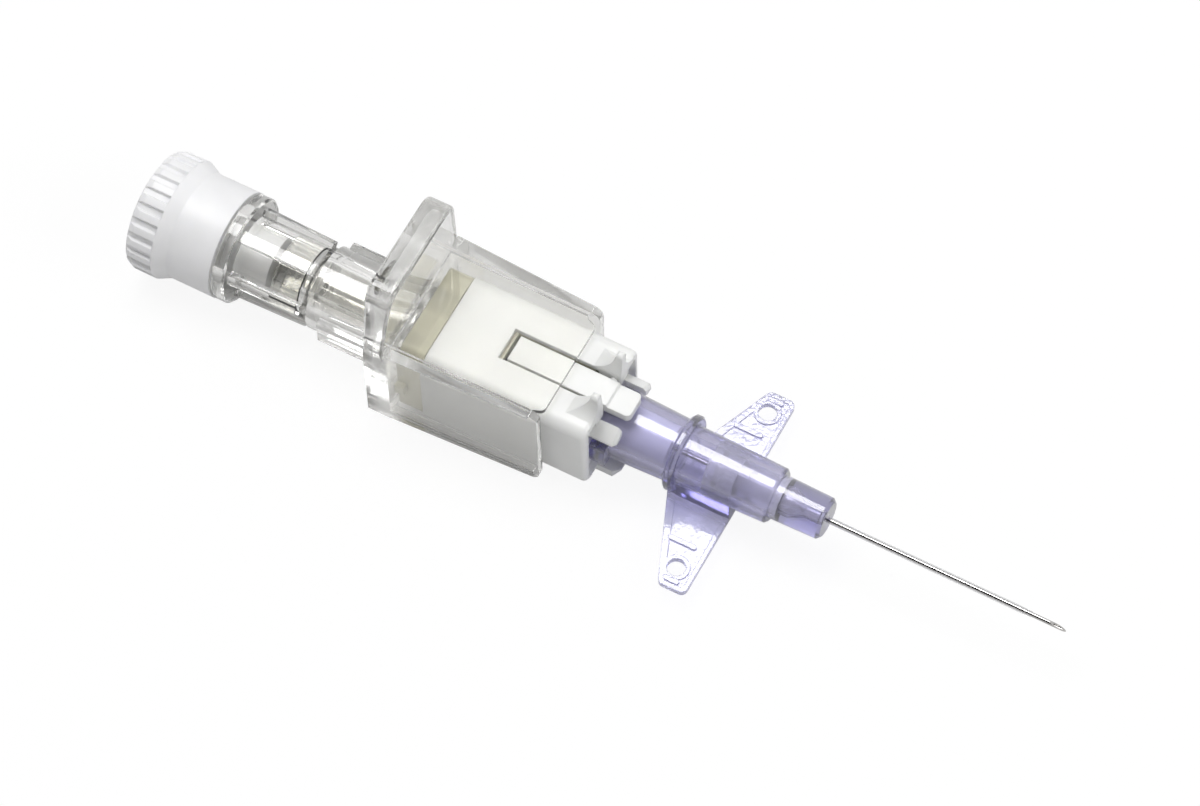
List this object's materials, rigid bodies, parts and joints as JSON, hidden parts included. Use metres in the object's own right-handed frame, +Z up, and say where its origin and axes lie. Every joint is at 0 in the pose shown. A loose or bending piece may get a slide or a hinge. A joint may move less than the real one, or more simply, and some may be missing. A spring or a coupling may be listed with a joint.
{
  "type": "winged safety intravenous cannula",
  "caption": "Winged intravenous cannula with a clear thumb-flange handle, a sliding needle guard with a lever, a ribbed flash chamber and a vent cap.",
  "frame": {"origin": "middle of the bounding box in plan, at the level of the lowest point, which is on the grip ring of the cap", "axes": "+X along the needle towards its tip, +Z up from the wings towards the thumb flange, +Y across the wings"},
  "size_m": [0.0882, 0.0208, 0.0195],
  "materials": {
    "clear_plastic": "clear, polished",
    "dark_violet_plastic": "tinted, translucent",
    "steel": "fine drawn steel",
    "adhesive": "cured, glossy",
    "olive_plastic": "tinted, translucent",
    "white_plastic": "satin",
    "violet_plastic": "tinted, translucent",
    "tube_plastic": "translucent",
    "frosted_plastic": "frosted, translucent",
    "silicone": "satin",
    "porous_plastic": "sintered"
  },
  "bodies": {
    "handle": {"handle_housing": "clear_plastic", "needle_hub": "dark_violet_plastic", "needle": "steel", "needle_bond": "adhesive"},
    "sleeve": {"intermediate_sleeve": "olive_plastic"},
    "guard": {"needle_guard": "white_plastic", "tip_shutter": "steel", "shutter_spring": "steel"},
    "lever": {"release_lever": "white_plastic"},
    "catheter": {"catheter_hub": "violet_plastic", "catheter_tube": "tube_plastic", "catheter_wedge": "frosted_plastic", "haemostasis_valve": "silicone", "valve_opener": "frosted_plastic", "valve_ring": "frosted_plastic"},
    "flash_chamber": {"flash_chamber": "clear_plastic", "chamber_liner": "clear_plastic"},
    "cap": {"vent_cap": "white_plastic", "vent_filter": "porous_plastic"}
  },
  "joints": [
    {"name": "sleeve_slide", "type": "slide", "parent": "handle", "child": "sleeve", "axis": [1, 0, 0], "range_m": [0, 0.012]},
    {"name": "guard_slide", "type": "slide", "parent": "sleeve", "child": "guard", "axis": [1, 0, 0], "range_m": [0, 0.034]},
    {"name": "lever_hinge", "type": "hinge", "parent": "guard", "child": "lever", "pos_m": [0.00065, 0, 0.0096], "axis": [0, -1, 0], "range_deg": [0, 5], "stiffness_Nm_per_rad": 0.0005},
    {"name": "catheter_slide", "type": "slide", "parent": "guard", "child": "catheter", "axis": [1, 0, 0], "range_m": [0, 0.045]},
    {"name": "flash_chamber_slide", "type": "slide", "parent": "handle", "child": "flash_chamber", "axis": [-1, 0, 0], "range_m": [0, 0.01]},
    {"name": "cap_slide", "type": "slide", "parent": "flash_chamber", "child": "cap", "axis": [-1, 0, 0], "range_m": [0, 0.008]}
  ]
}
